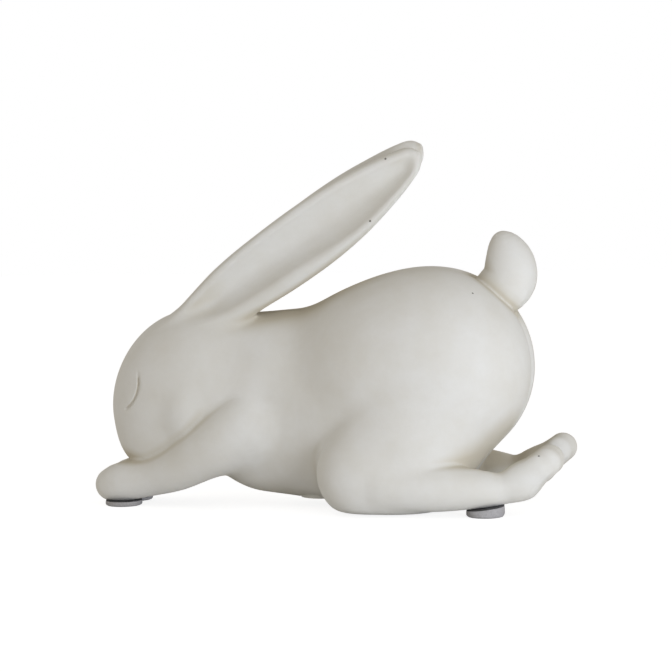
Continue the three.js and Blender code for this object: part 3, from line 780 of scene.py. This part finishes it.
# %% [markdown]
# Finer faces where the form is fine
#
# The eye line and the rim of the plug's recess are narrower than the body's quads. Smaller
# cells everywhere would make a heavy mesh. Splitting the few quads there, and letting the new
# corners settle on the skin, draws both sharply.

# %% Split and settle again
NEAR_EYE_LINE, NEAR_RECESS_RIM, ABOVE_RECESS = 2.2, 1.6, 2
EYE_ARC_FROM, EYE_ARC_TO, BESIDE_MUZZLE = -72, 30, 6


def near_fine_form(x, y, z):
    angle = angle_round(EYE_CENTRE, x, z)
    on_arc = (angle > EYE_ARC_FROM) & (angle < EYE_ARC_TO) & (np.abs(y) > BESIDE_MUZZLE)
    eye = (np.abs(off_eye_line(x, z)) < NEAR_EYE_LINE) & on_arc
    rim = (np.abs(off_recess_rim(x, y)) < NEAR_RECESS_RIM) & (z < RECESS_TOP + ABOVE_RECESS)
    return eye | rim


def corners_of(mesh):
    flat = np.empty(len(mesh.vertices) * 3)
    mesh.vertices.foreach_get("co", flat)
    return flat.reshape(-1, 3) / MM - FRAME_SHIFT


def refine(piece, form, cuts):
    chosen = near_fine_form(*corners_of(piece.data).T)
    work = bmesh.new()
    work.from_mesh(piece.data)
    edges = [e for e in work.edges if all(chosen[v.index] for v in e.verts)]
    bmesh.ops.subdivide_edges(work, edges=edges, cuts=cuts, use_grid_fill=True)
    work.to_mesh(piece.data)
    work.free()
    points = corners_of(piece.data)
    moved = near_fine_form(*points.T)
    points[moved] = settle(form, points[moved], most=0.2)
    piece.data.vertices.foreach_set("co", ((points + FRAME_SHIFT) * MM).ravel())
    piece.data.polygons.foreach_set("use_smooth", [True] * len(piece.data.polygons))
    piece.data.update()
    print(piece.name, "gained", len(points) - len(chosen), "corners")


refine(body, body_casting, cuts=3)

# %% [markdown]
# How closed in each corner lies
#
# Shade gathers where the clay closes in on itself: between the hind feet, under the tail and
# behind the elbow, and there the material paints a darker, warmer colour. An ambient occlusion
# node could find these places, but it looks at them anew in every render. Walking out from
# each corner, and asking how near the skin still is, gives a number that the mesh itself keeps
# for the painted shade.

# %% A number for each corner
STEPS_OUT = (5, 12, 24)


def occlusion_for_shade(points):
    slope = slope_of(whole, points, step=0.2)
    out = slope / np.linalg.norm(slope, axis=1, keepdims=True)
    room = [np.clip(whole(*(points + out * h).T) / h, 0, 1) for h in STEPS_OUT]
    return 1 - np.mean(room, axis=0)


for piece in castings:
    share = occlusion_for_shade(corners_of(piece.data))
    kept = piece.data.attributes.new("occlusion_for_shade", "FLOAT", "POINT")
    kept.data.foreach_set("value", share.astype(np.float32))
    print(piece.name, "is closed in by", share.mean().round(3), "on average")

# %% [markdown]
# Taking the places of the plain castings
#
# Each fine casting now stands for its plain solid, which is hidden. Joining all four into one
# mesh would look the same, but the real castings are separate pieces and stay so. Nothing on
# a cast figure moves, so all of them ride on the one root.

# %% Castings in their places
for piece, node in zip(castings, ("body_casting", "left_ear", "right_ear", "tail")):
    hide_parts(node)
    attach(piece, "root")
    print(piece.name, "stands for", node)

# %% [markdown]
# Sums of sockets
#
# Material nodes could be placed and linked one by one, but a finish is easier to read as a
# sum. A small class wraps a socket and adds the Math node for each operator. The reflected
# forms make sums that start with a plain number work as well.

# %% A socket that can be calculated with
class Value:
    def __init__(self, shader, socket):
        self.shader, self.socket = shader, socket

    def math(self, operation, other, swapped=False):
        first, second = (other, self) if swapped else (self, other)
        return self.shader.node("ShaderNodeMath", {"operation": operation}, {0: first, 1: second})

    def __add__(self, other):
        return self.math("ADD", other)

    def __radd__(self, other):
        return self.math("ADD", other, True)

    def __sub__(self, other):
        return self.math("SUBTRACT", other)

    def __rsub__(self, other):
        return self.math("SUBTRACT", other, True)

    def __mul__(self, other):
        return self.math("MULTIPLY", other)

    def __rmul__(self, other):
        return self.math("MULTIPLY", other, True)

    def __gt__(self, other):
        return self.math("GREATER_THAN", other)

    def __lt__(self, other):
        return self.math("LESS_THAN", other)


print("sums may start with a number in", [name for name in vars(Value) if name.startswith("__r")])

# %% [markdown]
# A shader to write in
#
# Every other node comes from one method, which takes the node's type, its settings, and what
# goes into its sockets. Colours are mixed with a Mix node, because a Math node would turn
# them grey. A spread stretches a narrow range of a pattern, so that its contrast can be
# chosen. The world has nodes too, so the same class serves it as well.

# %% Nodes of a material or a world
MIX_FACTOR, MIX_FIRST, MIX_SECOND, MIX_COLOUR = 0, 6, 7, 2


class Shader:
    def __init__(self, owner, surface="Principled BSDF"):
        owner.use_nodes = True
        self.owner, self.tree = owner, owner.node_tree
        self.surface = self.tree.nodes[surface]
        self.end = self.surface.outputs[0].links[0].to_socket

    def node(self, kind, settings=None, inputs=None, output=0):
        node = self.tree.nodes.new(kind)
        for key, value in (settings or {}).items():
            setattr(node, key, value)
        for key, value in (inputs or {}).items():
            self.fill(node.inputs[key], value)
        return Value(self, node.outputs[output])

    def fill(self, socket, value):
        if isinstance(value, Value):
            self.tree.links.new(value.socket, socket)
        else:
            socket.default_value = value

    def set(self, **inputs):
        for key, value in inputs.items():
            self.fill(self.surface.inputs[key.replace("_", " ")], value)

    def noise(self, scale, detail, roughness):
        place = self.node("ShaderNodeTexCoord", output="Object")
        return self.node("ShaderNodeTexNoise", None, {
            "Vector": place, "Scale": scale, "Detail": detail, "Roughness": roughness})

    def spread(self, value, low, high, most=1):
        return self.node("ShaderNodeMapRange", None, {
            "Value": value, "From Min": low, "From Max": high, "To Min": 0, "To Max": most})

    def mix(self, factor, first, second):
        colours = [(*c, 1) if isinstance(c, tuple) else c for c in (first, second)]
        return self.node("ShaderNodeMix", {"data_type": "RGBA"}, {
            MIX_FACTOR: factor, MIX_FIRST: colours[0], MIX_SECOND: colours[1]}, MIX_COLOUR)

    def bump(self, height, strength, distance):
        return self.node("ShaderNodeBump", None, {
            "Height": height, "Strength": strength, "Distance": distance})


resin = Shader(bpy.data.materials.new("cast resin"))
print("the first shader is for", resin.owner.name)

# %% [markdown]
# Cast resin: grain and pinholes
#
# Stone-filled resin has a fine grain from the mould and a few pinholes where air was trapped.
# A picture wrapped round the figure would need unwrapping and show its seams, while patterns
# in space have none. The smallest pinholes come from a cell pattern in which few cells are
# picked, and five larger ones are listed, where the real figure has them.

# %% Grain and pinholes
grain = resin.noise(scale=1400, detail=3, roughness=0.7)
speckle = resin.noise(scale=420, detail=2, roughness=0.6)
place = resin.node("ShaderNodeTexCoord", output="Object")
CELLS = {"Vector": place, "Scale": 60, "Randomness": 1}
PORE_RADIUS, PORE_CHOICE, PIT_RADIUS = 0.022, 0.93, 0.00055
pore = resin.node("ShaderNodeTexVoronoi", None, CELLS)
pore_colour = resin.node("ShaderNodeTexVoronoi", None, CELLS, "Color")
pick = resin.node("ShaderNodeSeparateColor", None, {"Color": pore_colour})
pinhole = (pore < PORE_RADIUS) * (pick > PORE_CHOICE)
PITS = (
    (32.2, -16.5, 177.5),
    (23.8, -16.6, 146.4),
    (76.9, -27.2, 110.2),
    (109.9, -38.8, 30.4),
    (115.8, -34.2, 18.4),
)
for pit in PITS:
    centre = tuple((np.array(pit) + FRAME_SHIFT) * MM)
    away = resin.node("ShaderNodeVectorMath", {"operation": "DISTANCE"}, {0: place, 1: centre}, "Value")
    pinhole = pinhole + (away < PIT_RADIUS)
print("pinholes of", 2 * PIT_RADIUS / MM, "mm at", len(PITS), "chosen places")

# %% [markdown]
# Cast resin: colour
#
# The paint is pale and a touch warm, with broad faint clouding and fine speckles. One flat
# colour would look like plastic. Clouding and speckle only mix neighbouring tones. The number
# that the mesh keeps paints shade in: closed-in places turn warmer and darker.

# %% Resin colour
WARM_CREAM, LIGHT_CREAM = (0.70, 0.68, 0.62), (0.75, 0.74, 0.70)
GREY_SPECKLE, PAINTED_SHADE_TONE, PINHOLE_SHADE = (0.66, 0.65, 0.62), (0.55, 0.50, 0.39), (0.16, 0.145, 0.12)
SPECKLE_SHARE = 0.25
cloud = resin.spread(resin.noise(scale=45, detail=4, roughness=0.6), low=0.32, high=0.68)
resin_tone = resin.mix(cloud, WARM_CREAM, LIGHT_CREAM)
resin_tone = resin.mix(speckle * SPECKLE_SHARE, resin_tone, GREY_SPECKLE)
# Painted shade: where the skin is closed in, the colour is mixed towards a darker, warmer tone.
closed = resin.node("ShaderNodeAttribute", {"attribute_name": "occlusion_for_shade"}, None, "Fac")
painted_shade = resin.spread(closed, low=0.2, high=0.65, most=0.8)
resin_tone = resin.mix(painted_shade, resin_tone, PAINTED_SHADE_TONE)
resin_colour = resin.mix(pinhole, resin_tone, PINHOLE_SHADE)
print("the resin's colour uses", len(resin.tree.nodes), "nodes so far")

# %% [markdown]
# Cast resin: finish
#
# A figure like this is hardly glossy: only a soft sheen shows at grazing angles. Grain and
# pinholes are too fine for the mesh, so they tilt the light through a bump, while everything
# larger is real form. The plug is resin as well: it keeps its own mesh, and the material goes
# on its object's slot.

# %% Resin finish
GRAIN_HEIGHT, SPECKLE_HEIGHT, PINHOLE_DEPTH = 0.35, 0.5, 3
MATT, GRAIN_MATT = 0.82, 0.12
height = grain * GRAIN_HEIGHT + speckle * SPECKLE_HEIGHT - pinhole * PINHOLE_DEPTH
tilt = resin.bump(height, strength=0.35, distance=0.0002)
resin.set(Base_Color=resin_colour, Roughness=MATT + grain * GRAIN_MATT, Normal=tilt)
resin.set(Specular_IOR_Level=0.35)
for piece in castings:
    piece.data.materials.append(resin.owner)
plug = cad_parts["fill_hole_plug"]
plug.material_slots[0].link = "OBJECT"
plug.material_slots[0].material = resin.owner

# %% [markdown]
# Felt pads
#
# Each pad is a disc punched from grey felt. A cylinder could stand for it, but punched felt
# bulges at its side and frays a little. So a pad is turned from a profile of rings, each a
# share of the radius and of the height, and the rings are drawn in by a random hair's breadth.
# The last, narrower step is where the painted contact shadow goes.

# %% A disc of felt
FRONT_PAD_RISE, REAR_PAD_RISE, REAR_PAD_SLOPE = 0.4, 2.2, 0.14
SIDES, SHADOW_RING, FRAY = 96, 8, 0.06
PAD_PROFILE = (
    (0, 0), (0.35, 0), (0.7, 0), (0.9, 0), (0.97, 0.12), (1, 0.3), (1, 0.6), (0.99, 0.82),
    (0.98, 0.86), (0.98, 1), (0.6, 1), (0, 1),
)


def disc(name, node):
    low, high = (Vector(corner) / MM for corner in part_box(node))
    centre, radius, top = (low + high) / 2, (high.x - low.x) / 2, high.z - low.z
    rise, slope = (REAR_PAD_RISE, REAR_PAD_SLOPE) if "rear" in node else (FRONT_PAD_RISE, 0)
    random = np.random.default_rng(len(name))
    points, quads = [], []
    for ring, (r, h) in enumerate(PAD_PROFILE):
        fuzz = random.normal(0, FRAY, SIDES) if 0 < r else np.zeros(SIDES)
        for i in range(SIDES):
            a = 2 * math.pi * i / SIDES
            reach = max(radius * r - abs(fuzz[i]), 0)
            dx, dy = reach * math.cos(a), reach * math.sin(a)
            points.append((centre.x + dx, centre.y + dy, low.z + (top + rise + slope * dx) * h))
            if ring:
                j, under = (i + 1) % SIDES, (ring - 1) * SIDES
                quads.append((under + i, under + j, under + SIDES + j, under + SIDES + i))
    return piece_from(name, np.array(points), np.array(quads))


print("a pad is turned from", len(PAD_PROFILE), "rings of", SIDES, "corners")

# %% [markdown]
# Four pads
#
# The pads sit under the two forepaws and the two hind feet. One could be made and copied, but
# the rear ones are higher, and their tops follow the rising sole of the foot. So each is
# turned anew in the place of its plain solid.

# %% Four pads in their places
pads = []
for node in ("front_left_pad", "front_right_pad", "rear_left_pad", "rear_right_pad"):
    pad = disc("felt_" + node, node)
    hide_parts(node)
    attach(pad, "root")
    pads.append(pad)
print("pads", [pad.name for pad in pads])

# %% [markdown]
# Felt
#
# Felt is pressed wool: light and dark fibres without any gloss. Hair particles would be true
# to it but cost far more than a pad of two centimetres is worth. One fine noise mixes two
# greys and lifts the surface with a strong bump.

# %% Grey felt
DARK_FIBRE, LIGHT_FIBRE = (0.26, 0.252, 0.252), (0.58, 0.562, 0.562)
felt = Shader(bpy.data.materials.new("grey felt"))
fibre = felt.noise(scale=900, detail=5, roughness=0.75)
grey = felt.mix(fibre, DARK_FIBRE, LIGHT_FIBRE)
felt.set(Base_Color=grey, Roughness=0.95, Normal=felt.bump(fibre, strength=0.8, distance=0.0006))
print("felt is mixed from", len(felt.tree.nodes), "nodes")

# %% [markdown]
# Painted contact shadow
#
# Where the pad meets the foot, shade falls in a thin dark line between felt and clay, and here
# it is painted. It could be a piece of its own, but it is only a second material on the last
# rings of the same disc, smoother than the felt and a little mottled.

# %% Painted contact shadow
SHADOW_BLACK, SHADOW_GREY = (0.02, 0.02, 0.022), (0.06, 0.058, 0.058)
SMOOTH, MOTTLED = 0.4, 0.3
contact_shadow = Shader(bpy.data.materials.new("painted contact shadow"))
shadow_mottle = contact_shadow.noise(scale=260, detail=3, roughness=0.6)
dark = contact_shadow.mix(shadow_mottle, SHADOW_BLACK, SHADOW_GREY)
contact_shadow.set(Base_Color=dark, Roughness=SMOOTH + shadow_mottle * MOTTLED)
for pad in pads:
    pad.data.materials.append(felt.owner)
    pad.data.materials.append(contact_shadow.owner)
    # Painted shadow: the last rings of each pad, where it meets the foot, take the dark material.
    rings = np.arange(len(pad.data.polygons)) // SIDES
    pad.data.polygons.foreach_set("material_index", (rings >= SHADOW_RING).astype(np.int32))
print("felt below, film on top of", len(pads), "pads")

# %% [markdown]
# Floor
#
# The photograph is a cut-out on white paper that keeps a faint shadow. A floor that only
# catches shadows would lose the light it throws back under the belly. So this one is real
# paper for the lamps, and for the camera a plain glow is mixed in, which makes it white and
# leaves the shadow.

# %% White paper
FLOOR_REACH, GLOW, GLOW_SHARE = 3, 1.32, 0.65
corners = [(x * FLOOR_REACH, y * FLOOR_REACH, 0) for x, y in ((-1, -1), (1, -1), (1, 1), (-1, 1))]
floor_mesh = bpy.data.meshes.new("floor")
floor_mesh.from_pydata(corners, [], [(0, 1, 2, 3)])
floor = bpy.data.objects.new("floor", floor_mesh)
bpy.context.collection.objects.link(floor)
paper = Shader(bpy.data.materials.new("white paper"))
paper.set(Base_Color=(0.93, 0.93, 0.93, 1), Roughness=0.9)
seen_by_camera = paper.node("ShaderNodeLightPath", output="Is Camera Ray")
glow = paper.node("ShaderNodeEmission", None, {"Color": (1, 1, 1, 1), "Strength": GLOW})
lit = Value(paper, paper.surface.outputs[0])
blend = paper.node("ShaderNodeMixShader", None, {0: seen_by_camera * GLOW_SHARE, 1: lit, 2: glow})
paper.fill(paper.end, blend)
floor.data.materials.append(paper.owner)
print("the floor is", 2 * FLOOR_REACH, "m wide")

# %% [markdown]
# World
#
# Everything round a studio table throws back some light. The world gives it from all sides,
# weak and a little warm, and is white only where the camera looks past the object. If it lit
# the object as brightly as it looks, every form would be washed out.

# %% World
world = bpy.data.worlds.new("studio")
bpy.context.scene.world = world
studio = Shader(world, "Background")
studio.set(Color=(1, 0.96, 0.9, 1), Strength=0.53)
seen_by_camera = studio.node("ShaderNodeLightPath", output="Is Camera Ray")
white = studio.node("ShaderNodeBackground", None, {"Color": (1, 1, 1, 1)})
lit = Value(studio, studio.surface.outputs[0])
studio.fill(studio.end, studio.node("ShaderNodeMixShader", None, {0: seen_by_camera, 1: lit, 2: white}))
print("the world's nodes", [node.name for node in studio.tree.nodes])

# %% [markdown]
# Lamps
#
# In the photograph soft light comes from the right, low and close, so the rump is bright and
# the face lies in its own shade. A sun lamp would draw hard edges, and a huge panel would
# fill every hollow. A round area lamp the size of a small window fades from tail to head as
# the real one does, and a broad weak one on the left stands for a warm wall.

# %% Lamps
def lamp(name, place, target, size, power, colour):
    data = bpy.data.lights.new(name, "AREA")
    data.shape, data.size, data.energy, data.color = "DISK", size, power, colour
    light = bpy.data.objects.new(name, data)
    light.location = place
    light.rotation_euler = (Vector(target) - Vector(place)).to_track_quat("-Z", "Y").to_euler()
    bpy.context.collection.objects.link(light)
    print(name, "gives", power, "W from", size, "m")


lamp("window on the right", (0.44, -0.46, 0.05), (0.04, 0, 0.05),
     size=0.26, power=2.4, colour=(0.82, 0.88, 1))
lamp("wall on the left", (-0.9, -0.25, 0.2), (-0.08, 0, 0.05),
     size=0.8, power=0.5, colour=(1, 0.96, 0.9))

# %% [markdown]
# Camera
#
# The photograph was taken with a long lens, from a little above the shelf and slightly from
# behind. The camera could be pushed about until it fits, but two angles and a distance are
# how a viewpoint is judged, so its place is worked out from them. A roll of one degree
# turns the picture as the real one is turned.

# %% Camera
AZIMUTH, ELEVATION, DISTANCE, ROLL = math.radians(11), math.radians(8.2), 1.15, math.radians(-1)
TARGET = Vector((0.0026, 0, 0.0872))
LENS, SENSOR_WIDTH = 118.5, 36
to_tail = math.sin(AZIMUTH) * math.cos(ELEVATION)
to_front = math.cos(AZIMUTH) * math.cos(ELEVATION)
back = Vector((to_tail, -to_front, math.sin(ELEVATION)))
camera_data = bpy.data.cameras.new("camera")
camera_data.lens, camera_data.sensor_width = LENS, SENSOR_WIDTH
camera_data.clip_start, camera_data.clip_end = 0.05, 20
camera = bpy.data.objects.new("camera", camera_data)
bpy.context.collection.objects.link(camera)
camera.location = back * DISTANCE
aim = (TARGET - camera.location).to_track_quat("-Z", "Y").to_matrix()
camera.rotation_euler = (aim @ Matrix.Rotation(ROLL, 3, "Z")).to_euler()
bpy.context.scene.camera = camera
bpy.context.scene.view_settings.view_transform = "Standard"
print("the camera stands at", [round(v, 3) for v in camera.location])

# %% [markdown]
# A dressed figure mustn't outgrow its solids.
